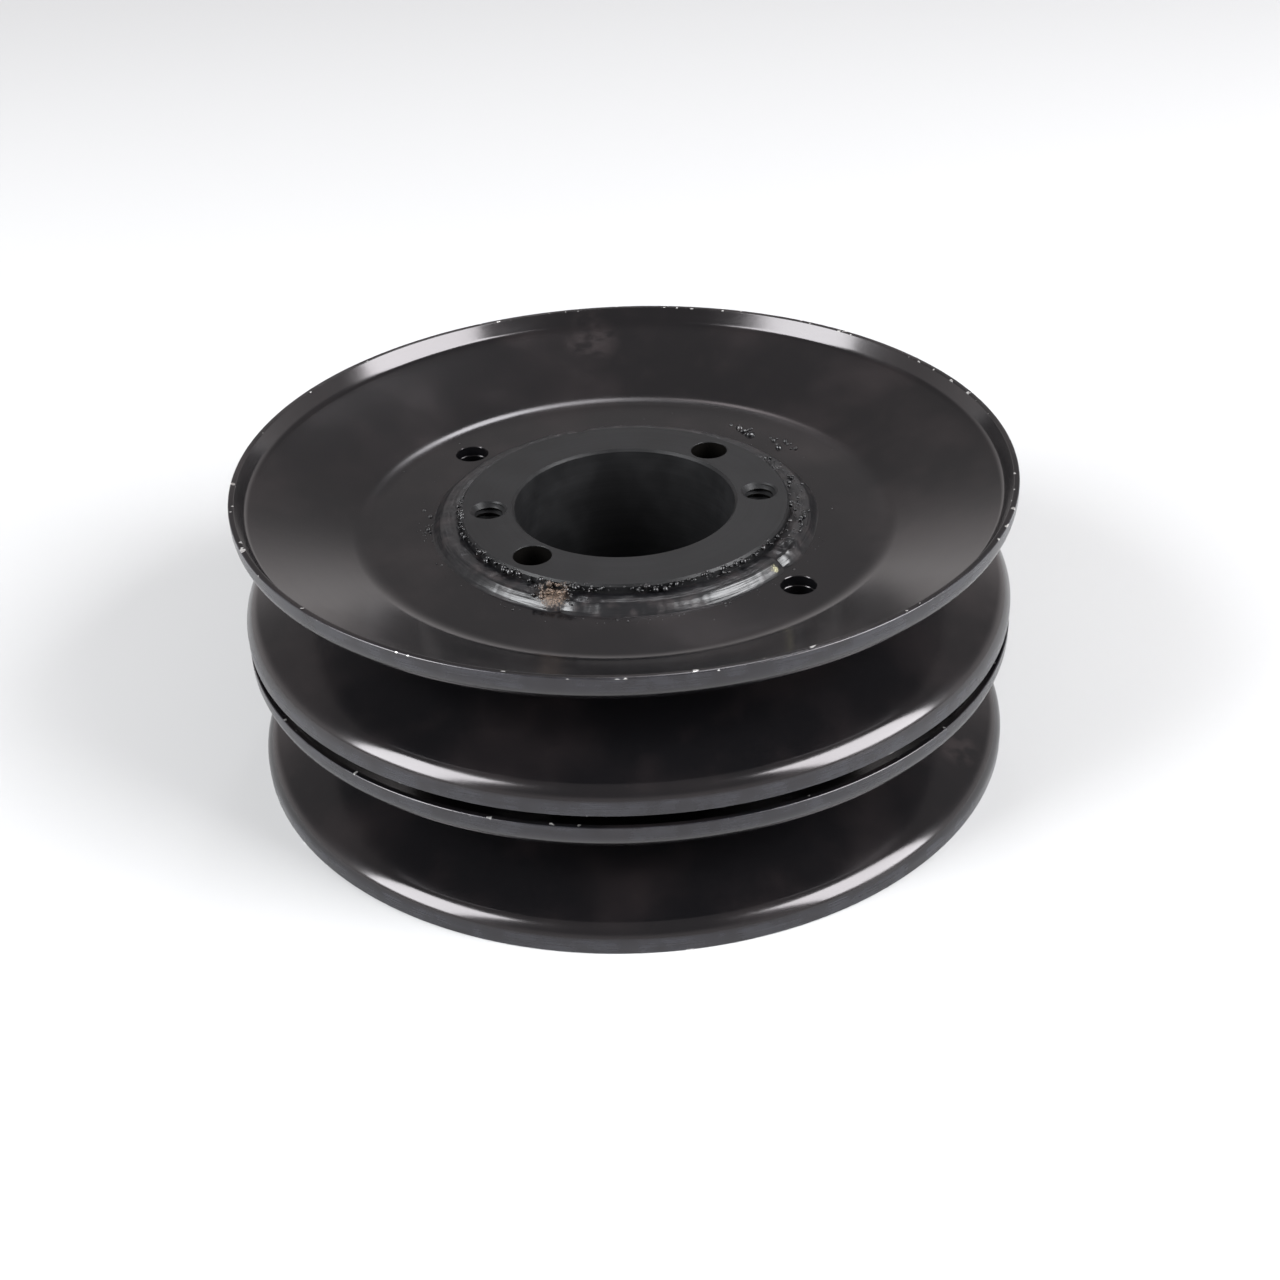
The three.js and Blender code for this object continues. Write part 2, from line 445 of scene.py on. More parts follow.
def bead_tree():
    """Lays one run of weld in the corner between the hub and a web, from a straight round bar."""
    start, given = geometry_tree(
        "Weld run",
        {
            "From": 0.0,
            "To": 1.0,
            "Steps": 300,
            "Root": hub_radius,
            "Floor": 0.0,
            "Leg": 0.005,
            "Rise": 0.003,
            "Bulge": 0.001,
            "Shoulder": 0.6,
            "Sink": 0.0,
            "Lump": 0.0,
            "Ripple": 0.001,
            "Ripple height": 0.0,
            "Streak": 0.0,
            "Crater": 0.0,
            "Seed": 0.0,
        },
    )
    bar = start.node(
        "GeometryNodeMeshCylinder",
        {"fill_type": "TRIANGLE_FAN"},
        {"Vertices": 56, "Side Segments": given["Steps"], "Radius": 1.0, "Depth": 1.0},
    )
    x, y, z = start.node("GeometryNodeInputPosition").parts()
    across = x * 0.5 + 0.5
    face = y.most(0.0)
    under = y.maths("LESS_THAN", y, -0.001)
    along = z + 0.5
    sweep = given["To"] - given["From"]
    angle = given["From"] + sweep * along
    whole = sweep * given["Root"]
    travel = whole * along

    # Round the ends off over a stretch about as long as the bead is wide.
    to_end = travel.least(whole - travel) / (given["Leg"] * 0.8)
    near = 1.0 - to_end.least(1.0).most(0.0)
    full = (1.0 - near * near).most(0.0004)

    ring = angle.around(given["Root"], 0.0)
    slow = ring.noise(150.0, 2.0, given["Seed"]) - 0.5
    ragged = ring.noise(900.0, 2.0, given["Seed"] + 7.0) - 0.5
    leg = given["Leg"] * (0.45 + 0.55 * full) * (1.0 + 0.18 * slow + 0.04 * ragged)
    rise = given["Rise"] * full * (1.0 + 0.10 * slow)

    # The crater that is left at one end of the run.
    crater_along = travel - given["Leg"] * CRATER_ALONG
    crater_across = (across - CRATER_ACROSS) * given["Leg"]
    off = (crater_along * crater_along + crater_across * crater_across).root()
    rim = CRATER_RIM_SHARE * (off - CRATER_RIM).bell(CRATER_RIM_WIDTH)
    pit = given["Crater"] * (rim - off.bell(CRATER_PIT))

    spread = angle.around(given["Root"], across * given["Leg"])
    lumps = given["Lump"] * (spread.noise(260.0, 2.0, given["Seed"] + 3.0) - 0.5)
    phase = travel / given["Ripple"] - face * 0.9 + (spread.noise(350.0, 1.0, 5.0) - 0.5) * 2.2
    ripples = given["Ripple height"] * (0.5 - abs((phase * math.pi).sin()))
    lines = angle.around(2.2, across * 9.0)
    streaks = given["Streak"] * (lines.noise(2.0, 3.0, given["Seed"] + 11.0) - 0.5)
    crown = given["Bulge"] * full * 4.0 * across * (1.0 - across)
    rough = (lumps + ripples + streaks + pit * full) * face
    shoulder = across.ease(1.0, given["Shoulder"])
    outwards = across * leg
    upwards = (rise + crown + rough) * shoulder

    width = outwards + under * (across * across * leg - outwards)
    height = upwards + under * ((1.0 - across) * (1.0 - across) * rise - upwards)
    radius = given["Root"] + width - given["Sink"] * (1.0 - across)
    level = given["Floor"] + height - given["Sink"] * across
    laid = start.node(
        "GeometryNodeSetPosition",
        sockets={"Geometry": bar, "Position": angle.around(radius, level)},
    )
    return end_tree(start, laid, given["Material"])


def spatter_tree():
    """Scatters small beads of metal along an arc."""
    start, given = geometry_tree(
        "Spatter",
        {
            "Count": 20,
            "From": 0.0,
            "To": 1.0,
            "Radius": 0.03,
            "Spread": 0.001,
            "Height": 0.0,
            "Slope": 0.0,
            "Smallest": 0.0001,
            "Largest": 0.0004,
            "Hole angle": 0.0,
            "Hole radius": 0.04,
            "Clear": 0.003,
            "Seed": 0,
        },
    )

    def chance(low, high, salt):
        return start.node(
            "FunctionNodeRandomValue",
            {"data_type": "FLOAT"},
            {2: low, 3: high, 8: given["Seed"] + salt},
            result=1,
        )

    angle = given["From"] + (given["To"] - given["From"]) * chance(0.0, 1.0, 1)
    stray = given["Spread"] * (chance(-1.0, 1.0, 2) + chance(-1.0, 1.0, 3)) * 0.5
    radius = given["Radius"] + stray
    points = start.node(
        "GeometryNodePoints",
        sockets={
            "Count": given["Count"],
            "Position": angle.around(radius, given["Height"] + stray * given["Slope"]),
        },
    )
    # No drop hangs in a web hole; the two holes face each other across the axis.
    x, y, _ = start.node("GeometryNodeInputPosition").parts()
    hole_x = given["Hole angle"].cos() * given["Hole radius"]
    hole_y = given["Hole angle"].sin() * given["Hole radius"]
    gaps = [
        ((x - hole_x * side) ** 2.0 + (y - hole_y * side) ** 2.0).root() for side in (1.0, -1.0)
    ]
    nearest = gaps[0].least(gaps[1])
    points = start.node(
        "GeometryNodeDeleteGeometry",
        {"domain": "POINT"},
        {"Geometry": points, "Selection": nearest.maths("LESS_THAN", nearest, given["Clear"])},
    )
    size = given["Smallest"] + (given["Largest"] - given["Smallest"]) * chance(0.0, 1.0, 4) ** 3.0
    drop = start.node("GeometryNodeMeshIcoSphere", sockets={"Radius": 1.0, "Subdivisions": 2})
    placed = start.node(
        "GeometryNodeInstanceOnPoints",
        sockets={
            "Points": points,
            "Instance": drop,
            "Rotation": start.vector(chance(0, 1, 5), chance(0, 1, 6), chance(0, math.tau, 7)),
            "Scale": start.vector(
                size * chance(0.8, 1.3, 8), size * chance(0.8, 1.3, 9), size * chance(0.6, 1.0, 10)
            ),
        },
    )
    return end_tree(start, placed, given["Material"])


# ---- Meshes ----
def arc(centre, radius, first, last, steps):
    """Points of an arc in an outline, ends included."""
    return [
        (centre[0] + radius * math.cos(a), centre[1] + radius * math.sin(a))
        for a in np.linspace(first, last, steps + 1)
    ]


def between(first, last, steps):
    """Points of a straight stretch, without its ends."""
    return [
        tuple(np.array(first) + (np.array(last) - np.array(first)) * i / steps)
        for i in range(1, steps)
    ]


def outline_mesh(name, outline):
    """A mesh of an outline's points, in the plane that the turning tree reads."""
    mesh = bpy.data.meshes.new(name)
    mesh.from_pydata([(r, 0.0, z) for r, z in outline], [], [])
    return mesh


def solid_mesh(name, points, faces):
    mesh = bpy.data.meshes.new(name)
    mesh.from_pydata([tuple(p) for p in points], [], [tuple(f) for f in faces])
    mesh.update()
    return mesh


def drill(x, y, outline, steps=72):
    """Points and faces of a cutter turned about an upright line; the outline runs upwards."""
    angles = np.linspace(0, math.tau, steps, endpoint=False)
    points = [(x + r * math.cos(a), y + r * math.sin(a), z) for r, z in outline for a in angles]
    faces = []
    for row in range(len(outline) - 1):
        for i in range(steps):
            j = (i + 1) % steps
            base = row * steps
            faces.append((base + i, base + j, base + steps + j, base + steps + i))
    faces.append(tuple(reversed(range(steps))))
    faces.append(tuple(range((len(outline) - 1) * steps, len(outline) * steps)))
    return points, faces


def tap(x, y, low, high, inner, outer, pitch, steps=40):
    """Points and faces of a threaded cutter about an upright line."""
    # One thread: its root's flat, the flank, the crest's flat and the other flank.
    form = ((0.0, outer), (0.125, outer), (0.4375, inner), (0.6875, inner))
    turns = math.ceil((high - low) / pitch) + 1
    rows = [(t + rise, r) for t in range(turns) for rise, r in form]
    points = [
        (x + r * math.cos(a), y + r * math.sin(a), low + (level + a / math.tau - 0.5) * pitch)
        for level, r in rows
        for a in np.linspace(0, math.tau, steps, endpoint=False)
    ]
    faces = []
    count = len(rows)
    for row in range(count - 1):
        for i in range(steps - 1):
            base = row * steps + i
            faces.append((base, base + 1, base + steps + 1, base + steps))
    # The last column meets the first one, one turn higher.
    shift = len(form)
    for row in range(count - shift - 1):
        last = row * steps + steps - 1
        first = (row + shift) * steps
        faces.append((last, first, first + steps, last + steps))
    bottom = list(range(steps)) + [row * steps for row in range(shift, 0, -1)]
    top_row = (count - 1) * steps
    top = [top_row + i for i in range(steps)]
    top += [(row + 1) * steps - 1 for row in range(count - 2, count - shift - 2, -1)]
    points.append((x, y, low - pitch))
    points.append((x, y, high + 2 * pitch))
    centre_low, centre_high = len(points) - 2, len(points) - 1
    for edge, centre, flip in ((bottom, centre_low, True), (top, centre_high, False)):
        for i, start in enumerate(edge):
            end = edge[(i + 1) % len(edge)]
            faces.append((end, start, centre) if flip else (start, end, centre))
    return points, faces


def cut(mesh, tools):
    """The mesh with cutters, given as (points, faces), taken out of it."""
    points, faces = [], []
    for tool_points, tool_faces in tools:
        faces += [tuple(i + len(points) for i in face) for face in tool_faces]
        points += tool_points
    body = add_object("body", mesh)
    tool = add_object("tool", solid_mesh("tool", points, faces))
    tool.data.materials.append(mesh.materials[0])
    modifier = body.modifiers.new("Cut", "BOOLEAN")
    modifier.operation = "DIFFERENCE"
    modifier.solver = "EXACT"
    modifier.object = tool
    result = applied(body)
    bpy.data.objects.remove(tool)
    return result


def volume(mesh):
    """The signed volume inside a mesh, which is positive when its faces point out."""
    mesh.calc_loop_triangles()
    points = np.array([v.co for v in mesh.vertices])
    corners = points[np.array([t.vertices for t in mesh.loop_triangles])]
    return np.einsum("ij,ij->i", corners[:, 0], np.cross(corners[:, 1], corners[:, 2])).sum() / 6


def add_piece(name, mesh, replaces=(), sharp=28.0):
    """A finished piece: smooth, facing out, and riding on the pulley."""
    if volume(mesh) < 0:
        mesh.flip_normals()
    mesh.shade_smooth()
    mesh.set_sharp_from_angle(angle=math.radians(sharp))
    mesh.name = name
    piece = add_object(name, mesh)
    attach(piece, "root")
    if replaces:
        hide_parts(*replaces)
    return piece


# ---- Finishes ----
def new_paint(name):
    """A new material: its shader, the place on the piece, patterns round it, radius and height."""
    material = bpy.data.materials.new(name)
    material.use_nodes = True
    tree = material.node_tree
    shader = tree.nodes["Principled BSDF"]
    place = Wire(tree).node("ShaderNodeTexCoord", result="Object")
    x, y, z = place.parts()
    radius = (x * x + y * y).root()

    def ring(scale, level):
        """A place for patterns that run round the piece."""
        return place.vector(x / radius * scale, y / radius * scale, level)

    return material, shader, place, ring, radius, z


def finish_paint(shader, base, roughness, height, depth, metallic=None):
    """Joins a finish to its shader; the height is worked into the surface to the given depth."""
    tree = shader.id_data
    bump = base.node("ShaderNodeBump", sockets={"Height": height, "Distance": depth})
    tree.links.new(base.socket, shader.inputs["Base Color"])
    tree.links.new(roughness.socket, shader.inputs["Roughness"])
    tree.links.new(bump.socket, shader.inputs["Normal"])
    if metallic is not None:
        tree.links.new(metallic.socket, shader.inputs["Metallic"])


def disc_paint(settings):
    """Gloss black enamel on pressed sheet: orange peel, smudges, scuffed rims and chipped edges."""
    material, shader, place, ring, radius, z = new_paint("gloss enamel")
    upwards = place.facing_up().ease(0.35, 0.95)

    # Smudges are broad on the pressed faces; dust settles in fine grains on what faces up.
    smudge = place.noise(45.0, 4.0, 2.0).ease(0.42, 0.72)
    swirl = place.noise(160.0, 3.0, 9.0).ease(0.50, 0.75)
    grain = place.noise(2600.0, 1.0, 4.0).ease(0.70, 0.80) * upwards
    drawn = ring(3.0, radius * 900.0 + z * 500.0).noise(1.0, 2.0, 6.0)

    # The lip: scuffed satin, with lines along it, fading into the bend.
    band = radius.ease(rim_radius - 0.35 * MM, rim_radius - 0.12 * MM)
    lines = ring(9.0, z * 3800.0).noise(1.0, 3.0, 3.0)
    patches = place.noise(210.0, 4.0, 8.0).ease(0.35, 0.68)
    scuff = band * (0.35 + 0.65 * patches) * (0.55 + 0.45 * lines.ease(0.35, 0.65))

    # Nicks in the free edges of the lips show bare steel.
    edge = radius.ease(rim_radius - 1.25 * MM, rim_radius - 0.9 * MM)
    top = abs(z).ease(whole_high.z - 0.32 * MM, whole_high.z - 0.12 * MM)
    gap = (abs(z) - (whole_high.z - 2 * (disc_high.z - disc_low.z))).bell(0.2 * MM)
    nicks = place.noise(620.0, 1.0, 12.0).ease(0.662, 0.695)
    stretches = ring(1.0, 0.0).noise(2.2, 1.0, 5.0).ease(0.34, 0.46)
    chips = edge * (top + gap * patches.ease(0.45, 0.8)).least(1.0) * nicks * stretches

    # Dull smears where the pulley was handled.
    smear = 0.0
    for angle, reach, height in SMEARS:
        away = place.distance(polar(SMEAR_RADIUS, angle, height * MM))
        smear = smear + (away + (swirl + smudge) * 4.0 * MM).ease(reach * MM, reach * 0.5 * MM)
    smear = smear * place.noise(330.0, 3.0, 5.0).ease(0.35, 0.6)

    shade = (0.22 * smudge * upwards + 0.08 * swirl).mix(settings.enamel, settings.dust)
    shade = (grain * 0.5).mix(shade, settings.dust)
    shade = (smear * 0.35).mix(shade, settings.dust)
    shade = scuff.mix(shade, settings.worn)
    shade = chips.mix(shade, settings.steel)
    roughness = 0.13 + 0.07 * smudge + 0.04 * drawn + 0.18 * scuff + 0.10 * smear
    shader.inputs["Specular Tint"].default_value = (*settings.sheen, 1.0)
    peel = place.noise(620.0, 2.0, 1.0) + 0.25 * drawn - 2.0 * chips + 0.6 * lines * band
    finish_paint(shader, shade, roughness, peel, 0.005 * MM, chips)
    return material


def hub_paint(settings):
    """Thin satin paint over turned steel: rings on the ends, darker blotches, and painted shade in
    the screw holes.
    """
    material, shader, place, ring, radius, z = new_paint("satin hub enamel")
    turned = ring(0.6, radius * 4200.0 + z * 2600.0).noise(1.0, 2.0, 1.0)
    blotch = place.noise(130.0, 4.0, 3.0).ease(0.38, 0.70)
    grain = place.noise(3200.0, 2.0, 4.0)
    lighter = [c * 1.7 for c in settings.hub]
    shade = (0.6 * blotch + 0.4 * turned.ease(0.35, 0.7)).mix(settings.hub, lighter)
    roughness = 0.40 + 0.12 * blotch - 0.08 * turned
    shader.inputs["Specular IOR Level"].default_value = 0.20
    upright = abs(place.facing_up()).ease(0.5, 0.2)
    # The walls of the screw holes stand upright, clear of the bore and of the outside. Their bare
    # steel is painted near black, as painted shade inside the holes.
    hole = upright * radius.ease(*PAST_BORE) * radius.ease(*INSIDE_HUB)
    # Painted shade: near-black metal on the hole walls, which mirrors almost nothing.
    shade = hole.mix(shade, settings.hole_shade)
    roughness = roughness + 0.25 * hole
    finish_paint(shader, shade, roughness, turned + 0.7 * grain, 0.006 * MM, hole)
    return material


def weld_paint(settings, spots):
    """Gloss enamel on the beads, with rough slag at the given (place, reach, colour) spots."""
    material, shader, place, ring, radius, z = new_paint("bead enamel")
    grime = place.noise(420.0, 4.0, 2.0).ease(0.45, 0.75)
    grain = place.noise(2400.0, 3.0, 3.0)
    lines = ring(2.5, (radius - z) * 1100.0).noise(1.0, 3.0, 7.0)
    crumbs = place.noise(5200.0, 2.0, 8.0).ease(0.42, 0.62)
    shade = (0.5 * grime).mix(settings.weld, settings.dust)
    rough = 0.29 + 0.10 * grime
    height = 0.35 * grain + 0.6 * grime + 14.0 * lines
    for spot, reach, tint in spots:
        away = place.distance(spot)
        patch = (away + (grain - 0.5) * 1.4 * reach).ease(reach, reach * 0.35)
        shade = (patch * (0.25 + 0.75 * crumbs)).mix(shade, tint)
        rough = rough + 0.3 * patch
        height = height + 5.0 * patch * crumbs
    finish_paint(shader, shade, rough, height, 0.012 * MM)
    return material


# ---- Outlines ----
def disc_outline(sizes):
    """The closed outline of a disc that stands on the web's outer face, its dish opening up."""
    sheet, bend, lip = sizes.sheet, sizes.web_bend, sizes.lip_bend
    wall = sizes.groove / 2
    top = disc_high.z - disc_low.z
    lip_base = top - sizes.lip_height
    seat = hub_radius + sizes.fit
    wall_end = rim_radius - lip + lip * math.sin(wall)
    wall_height = lip_base - lip * math.cos(wall)
    knee = wall_end - wall_height / math.tan(wall)
    web_end = knee - (bend + sheet) * math.tan(wall / 2)
    middle = (rim_radius - lip, lip_base)
    leaning = math.atan2(sizes.lip_height, lip - sizes.lip_edge) - math.acos(
        (lip - sheet) / math.hypot(lip - sizes.lip_edge, sizes.lip_height)
    )
    margin = 1.2 * sizes.hole / 2
    holes = sizes.hole_radius
    rings = [seat + 5 * MM, holes - margin, holes + margin, web_end - MM / 2]
    soft = sizes.break_edge
    broken = 0.2 * MM  # chamfers of the bore

    web = arc((web_end, bend + sheet), bend + sheet, DOWN, DOWN + wall, 14)
    rim = arc(middle, lip, DOWN + wall, 0, 22)
    groove_side = [(seat + broken, 0.0)] + [(r, 0.0) for r in rings] + web
    groove_side += between(web[-1], rim[0], 10) + rim
    groove_side += [(rim_radius, lip_base + 0.5 * sizes.lip_height)]
    edge = arc((rim_radius - soft, top - soft), soft, 0, math.pi / 2, 5)
    inner_edge = (rim_radius - sizes.lip_edge + soft, top - soft)
    edge += arc(inner_edge, soft, math.pi / 2, 0.9 * math.pi, 5)
    inner_rim = arc(middle, lip - sheet, leaning, DOWN + wall, 16)
    inner_web = arc((web_end, bend + sheet), bend, DOWN + wall, DOWN, 14)
    dished_side = inner_rim + between(inner_rim[-1], inner_web[0], 10) + inner_web
    dished_side += [(r, sheet) for r in reversed(rings)] + [(seat + broken, sheet)]
    return groove_side + edge + dished_side + [(seat, sheet - broken), (seat, broken)]


def hub_outline(sizes):
    """The closed outline of the hub, with its bore tapering towards the lower end."""

    def bore(height):
        return (sizes.bore - sizes.taper * (hub_half - height)) / 2

    edge, mouth = sizes.edge, sizes.bore_edge
    return [
        (bore(-hub_half) + mouth, -hub_half),
        (hub_radius - edge, -hub_half),
        (hub_radius, -hub_half + edge),
        *between((hub_radius, -hub_half + edge), (hub_radius, hub_half - edge), 4),
        (hub_radius, hub_half - edge),
        (hub_radius - edge, hub_half),
        (bore(hub_half) + mouth, hub_half),
        (bore(hub_half - mouth), hub_half - mouth),
        *between((bore(hub_half), hub_half), (bore(-hub_half), -hub_half), 6),
        (bore(-hub_half + mouth), -hub_half + mouth),
    ]


# ---- Operators ----
class PULLEY_OT_discs(bpy.types.Operator):
    """Press the four discs"""

    bl_idname = "pulley.discs"
    bl_label = "Discs"

    def execute(self, context):
        sizes = context.scene.pulley_discs
        tree = turning_tree()
        material = disc_paint(context.scene.pulley_paint)
        outline = disc_outline(sizes)
        depth = disc_high.z
        radius, edge = sizes.hole / 2, sizes.hole_edge
        bore = [(radius + edge + MM, -MM), (radius, edge), (radius, sizes.sheet - edge)]
        bore += [(radius + edge + depth, sizes.sheet + depth)]
        tools = [drill(side * sizes.hole_radius, 0.0, bore) for side in (1, -1)]
        for seed, (node, turned_over) in enumerate(DISCS.items()):
            mesh = made_by(
                tree,
                outline_mesh(node, outline),
                {
                    "Segments": 384,
                    "Waviness": sizes.waviness,
                    "Wave scale": 1 / sizes.wave,
                    "Still radius": 0.6 * rim_radius,
                    "Moving radius": rim_radius,
                    "Seed": float(seed * 3),
                    "Material": material,
                },
            )
            mesh = cut(mesh, tools)
            low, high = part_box(node)
            lift = high.z if turned_over else low.z
            place = Matrix.Translation((0, 0, lift)) @ Matrix.Rotation(
                math.pi if turned_over else 0, 4, "X"
            )
            spin = -sizes.hole_turn if turned_over else sizes.hole_turn
            mesh.transform(place @ Matrix.Rotation(spin, 4, "Z"))
            add_piece("pressed_" + node, mesh, [node])
        return {"FINISHED"}


class PULLEY_OT_spacer(bpy.types.Operator):
    """Turn the ring that holds the two sheaves apart"""

    bl_idname = "pulley.spacer"
    bl_label = "Spacer"

    def execute(self, context):
        fit = context.scene.pulley_discs.fit
        inner, outer = hub_radius + fit, spacer_high.x
        low, high, edge = spacer_low.z, spacer_high.z, 0.4 * MM
        outline = [
            (inner + edge, low),
            (outer - edge, low),
            (outer, low + edge),
            *between((outer, low + edge), (outer, high - edge), 6),
            (outer, high - edge),
            (outer - edge, high),
            (inner + edge, high),
            (inner, high - edge),
            (inner, low + edge),
        ]
        mesh = made_by(
            turning_tree(),
            outline_mesh("spacer", outline),
            {"Segments": 256, "Material": bpy.data.materials["gloss enamel"]},
        )
        add_piece("turned_spacer", mesh, ["spacer_ring"])
        return {"FINISHED"}


class PULLEY_OT_hub(bpy.types.Operator):
    """Turn, bore, drill and tap the hub"""

    bl_idname = "pulley.hub"
    bl_label = "Hub"

    def execute(self, context):
        sizes = context.scene.pulley_hub
        material = hub_paint(context.scene.pulley_paint)
        mesh = made_by(
            turning_tree(),
            outline_mesh("hub", hub_outline(sizes)),
            {"Segments": 256, "Material": material},
        )
        end = hub_half + MM
        reach = sizes.screw_circle / 2
        inner, outer = sizes.tap_drill / 2, sizes.thread / 2
        plain, edge = sizes.clearance / 2, sizes.hole_edge
        chamfered = [
            (plain + edge + MM, -end),
            (plain, -hub_half + edge),
            (plain, hub_half - edge),
            (plain + edge + MM, end),
        ]
        mouth = sizes.tap_mouth / 2
        sink = [(inner, hub_half - (mouth - inner)), (mouth + MM, end)]
        lower_sink = [(r, -z) for r, z in reversed(sink)]
        for side in (1, -1):
            x, y = side * reach, 0.0
            angle = sizes.clearance_turn
            spot = (x * math.cos(angle), x * math.sin(angle))
            mesh = cut(mesh, [drill(*spot, chamfered)])
            mesh = cut(mesh, [tap(x, y, -end, end, inner, outer, sizes.pitch)])
            mesh = cut(mesh, [drill(x, y, sink), drill(x, y, lower_sink)])
        add_piece("turned_hub", mesh, ["hub"])
        return {"FINISHED"}


class PULLEY_OT_welds(bpy.types.Operator):
    """Lay the weld round each end of the hub"""

    bl_idname = "pulley.welds"
    bl_label = "Welds"

    # Where the runs of each ring stop, in degrees.
    stops = {"upper": (-110, -38, 104), "lower": (-72, 38, 166)}
    # How much of the full depth the crater at the start of each run has.
    craters = {"upper": (0.1, 1.0, 0.3), "lower": (0.8, 0.2, 0.5)}
    # Spots of slag: colour, radius, angle in degrees, height above the web, reach; in millimetres.
    slag = (("slag", 33.4, 243.5, 2.4, 3.3), ("speck", 35.6, 314.8, 1.2, 1.1))

    def execute(self, context):
        sizes = context.scene.pulley_welds
        paint = context.scene.pulley_paint
        sheet = context.scene.pulley_discs.sheet
        floor = web_top + sheet
        spots = [
            (polar(radius * MM, angle, floor + height * MM), reach * MM, getattr(paint, tint))
            for tint, radius, angle, height, reach in self.slag
        ]
        material = weld_paint(paint, spots)
        tree = bead_tree()
        overlap = sizes.overlap / hub_radius
        passed_on = "leg rise bulge shoulder sink lump ripple ripple_height streak".split()
        shape = {key.replace("_", " ").capitalize(): getattr(sizes, key) for key in passed_on}
        for ring, stops in self.stops.items():
            ends = [*stops[1:], stops[0] + 360]
            for index, (first, last) in enumerate(zip(stops, ends)):
                start = math.radians(first) - LAP_BEFORE * overlap
                stop = math.radians(last) + (1 - LAP_BEFORE) * overlap
                mesh = made_by(
                    tree,
                    bpy.data.meshes.new("bar"),
                    {
                        "From": start,
                        "To": stop,
                        "Steps": int((stop - start) * hub_radius / BEAD_STEP),
                        "Root": hub_radius,
                        "Floor": floor,
                        **shape,
                        "Crater": sizes.crater * self.craters[ring][index],
                        "Seed": float(index + (10 if ring == "lower" else 0)),
                        "Material": material,
                    },
                )
                if ring == "lower":
                    mesh.transform(Matrix.Rotation(math.pi, 4, "X"))
                node = f"{ring}_weld_run_{index + 1}"
                add_piece("bead_" + node, mesh, [node], sharp=60.0)
        return {"FINISHED"}


def polar(radius, degrees, height):
    """A point by its radius, its angle and its height."""
    angle = math.radians(degrees)
    return (radius * math.cos(angle), radius * math.sin(angle), height)


class PULLEY_OT_spatter(bpy.types.Operator):
    """Scatter weld spatter and specks of slag"""

    bl_idname = "pulley.spatter"
    bl_label = "Spatter"

    # Count, arc in degrees, radius, spread, height above the web, slope, sizes; in millimetres.
    patches = (
        (190, 205, 332, 30.95, 0.75, 2.60, -0.7, 0.10, 0.62),
        (60, 168, 205, 30.9, 0.7, 2.8, -0.7, 0.10, 0.46),
        (80, 236, 250, 33.2, 2.2, 2.55, -0.5, 0.12, 0.46),
        (26, 168, 188, 37.2, 1.8, 0.0, 0.0, 0.10, 0.46),
        (30, 31, 55, 41.6, 1.9, 0.05, 0.0, 0.22, 0.80),
        (110, 322, 390, 32.6, 2.2, 2.2, -0.3, 0.10, 0.44),
        (46, 200, 340, 37.4, 1.4, 0.0, 0.0, 0.06, 0.26),
        (40, 0, 360, 42.0, 9.0, 0.0, 0.0, 0.04, 0.16),
    )

    def execute(self, context):
        sizes = context.scene.pulley_discs
        floor = web_top + sizes.sheet
        tree = spatter_tree()
        material = bpy.data.materials["bead enamel"]
        for name, turned_over in (("upper_spatter", False), ("lower_spatter", True)):
            points, faces = [], []
            for seed, patch in enumerate(self.patches):
                count, first, last, radius, spread, height, slope, smallest, largest = patch
                mesh = made_by(
                    tree,
                    bpy.data.meshes.new("patch"),
                    {
                        "Count": count,
                        "From": math.radians(first),
                        "To": math.radians(last),
                        "Radius": radius * MM,
                        "Spread": spread * MM,
                        "Height": floor + height * MM,
                        "Slope": float(slope),
                        "Smallest": smallest * MM,
                        "Largest": largest * MM,
                        "Hole angle": -sizes.hole_turn if turned_over else sizes.hole_turn,
                        "Hole radius": sizes.hole_radius,
                        "Clear": sizes.hole / 2 + 0.7 * MM,
                        "Seed": seed * 20 + (500 if turned_over else 0),
                        "Material": material,
                    },
                )
                faces += [tuple(i + len(points) for i in face.vertices) for face in mesh.polygons]
                points += [tuple(v.co) for v in mesh.vertices]
            whole = solid_mesh(name, points, faces)
            whole.materials.append(material)
            if turned_over:
                whole.transform(Matrix.Rotation(math.pi, 4, "X"))
            add_piece(name, whole, sharp=80.0)
        return {"FINISHED"}


